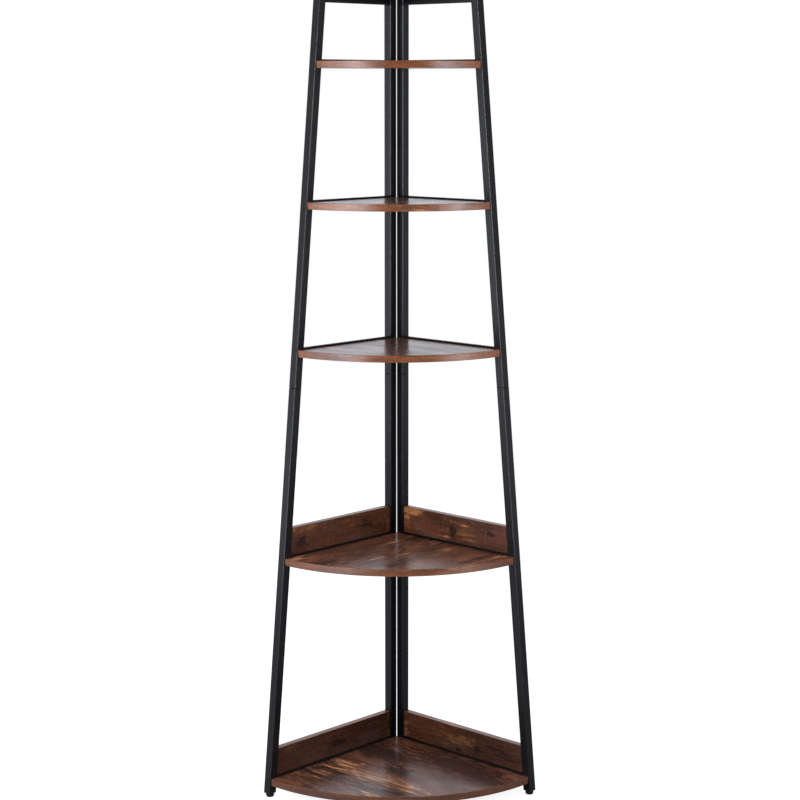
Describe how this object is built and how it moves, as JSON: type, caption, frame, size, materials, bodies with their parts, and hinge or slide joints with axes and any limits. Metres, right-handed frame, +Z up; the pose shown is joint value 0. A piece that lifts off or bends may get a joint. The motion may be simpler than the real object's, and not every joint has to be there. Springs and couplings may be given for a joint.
{
  "type": "corner shelf unit",
  "caption": "Tall corner shelf unit: quarter-round wood boards that get smaller towards the top, on two ladder frames of black square tube with leaning front legs and an open top.",
  "frame": {"origin": "on the floor, under the middle of the whole unit's box", "axes": "+Z up, the open front faces -Y, the corner of the room is at +Y, +X is to the right seen from the front"},
  "size_m": [0.6202, 0.4274, 1.8],
  "materials": {
    "frame": "black powder coat on square steel tube, low sheen",
    "board": "rustic brown wood laminate on chipboard, satin, matching edge banding",
    "bolt": "zinc plated",
    "sleeve": "bare zinc plated steel tube",
    "foot": "black moulded plastic"
  },
  "bodies": {
    "unit": {"left_post_lower": "frame", "left_leg_lower": "frame", "left_post_upper": "frame", "left_leg_upper": "frame", "left_post_sleeve": "sleeve", "left_leg_sleeve": "sleeve", "left_rail_1": "frame", "left_rail_2": "frame", "left_rail_3": "frame", "left_rail_4": "frame", "left_rail_5": "frame", "left_rail_top": "frame", "left_backboard_1": "board", "left_backboard_2": "board", "left_bolt_1_rear": "bolt", "left_bolt_1_front": "bolt", "left_bolt_2_rear": "bolt", "left_bolt_2_front": "bolt", "left_bolt_3_rear": "bolt", "left_bolt_3_front": "bolt", "left_bolt_4_rear": "bolt", "left_bolt_4_front": "bolt", "left_bolt_5_rear": "bolt", "left_bolt_5_front": "bolt", "right_post_lower": "frame", "right_leg_lower": "frame", "right_post_upper": "frame", "right_leg_upper": "frame", "right_post_sleeve": "sleeve", "right_leg_sleeve": "sleeve", "right_rail_1": "frame", "right_rail_2": "frame", "right_rail_3": "frame", "right_rail_4": "frame", "right_rail_5": "frame", "right_rail_top": "frame", "right_backboard_1": "board", "right_backboard_2": "board", "right_bolt_1_rear": "bolt", "right_bolt_1_front": "bolt", "right_bolt_2_rear": "bolt", "right_bolt_2_front": "bolt", "right_bolt_3_rear": "bolt", "right_bolt_3_front": "bolt", "right_bolt_4_rear": "bolt", "right_bolt_4_front": "bolt", "right_bolt_5_rear": "bolt", "right_bolt_5_front": "bolt", "shelf_1": "board", "shelf_2": "board", "shelf_3": "board", "shelf_4": "board", "shelf_5": "board"},
    "left_front_foot": {"left_foot_front": "foot"},
    "left_rear_foot": {"left_foot_rear": "foot"},
    "right_front_foot": {"right_foot_front": "foot"},
    "right_rear_foot": {"right_foot_rear": "foot"}
  },
  "joints": [
    {"name": "left_front_level", "type": "slide", "parent": "unit", "child": "left_front_foot", "axis": [0, 0, -1], "range_m": [0, 0.008]},
    {"name": "left_rear_level", "type": "slide", "parent": "unit", "child": "left_rear_foot", "axis": [0, 0, -1], "range_m": [0, 0.008]},
    {"name": "right_front_level", "type": "slide", "parent": "unit", "child": "right_front_foot", "axis": [0, 0, -1], "range_m": [0, 0.008]},
    {"name": "right_rear_level", "type": "slide", "parent": "unit", "child": "right_rear_foot", "axis": [0, 0, -1], "range_m": [0, 0.008]}
  ]
}
